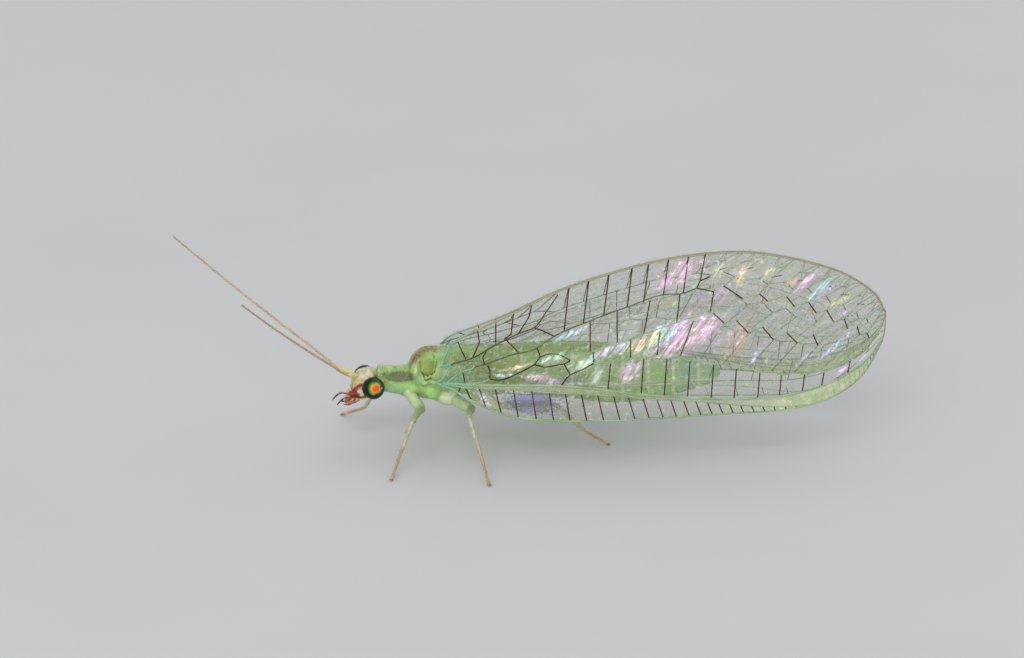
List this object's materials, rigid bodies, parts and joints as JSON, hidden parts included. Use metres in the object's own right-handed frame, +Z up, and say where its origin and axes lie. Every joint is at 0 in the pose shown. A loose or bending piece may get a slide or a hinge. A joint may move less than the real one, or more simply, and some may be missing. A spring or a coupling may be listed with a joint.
{
  "type": "green lacewing",
  "caption": "Life-size still model of a green lacewing standing at rest, wings folded roof-like over the body, long feelers held forward.",
  "frame": {"origin": "on the floor under the middle of the animal, feelers and wing tips included", "axes": "+Z up; +X from the head towards the wing tips; the animal's left side faces -Y"},
  "size_m": [0.0234, 0.0108, 0.0068],
  "materials": {
    "green_cuticle": "satin",
    "pale_leg": "satin",
    "cream_head": "satin",
    "red_mouthparts": "satin",
    "compound_eye": "gloss",
    "tan_feeler": "matte",
    "wing_membrane": "gloss"
  },
  "bodies": {
    "root": {"head": "cream_head", "eye_left": "compound_eye", "eye_right": "compound_eye", "mouthparts": "red_mouthparts", "antenna_left": "tan_feeler", "antenna_right": "tan_feeler", "prothorax": "green_cuticle", "mesothorax": "green_cuticle", "metathorax": "green_cuticle", "abdomen": "green_cuticle", "foreleg_left": "pale_leg", "foreleg_right": "pale_leg", "midleg_left": "pale_leg", "midleg_right": "pale_leg", "hindleg_left": "pale_leg", "hindleg_right": "pale_leg", "forewing_left": "wing_membrane", "forewing_right": "wing_membrane", "hindwing_left": "wing_membrane", "hindwing_right": "wing_membrane"}
  },
  "joints": []
}
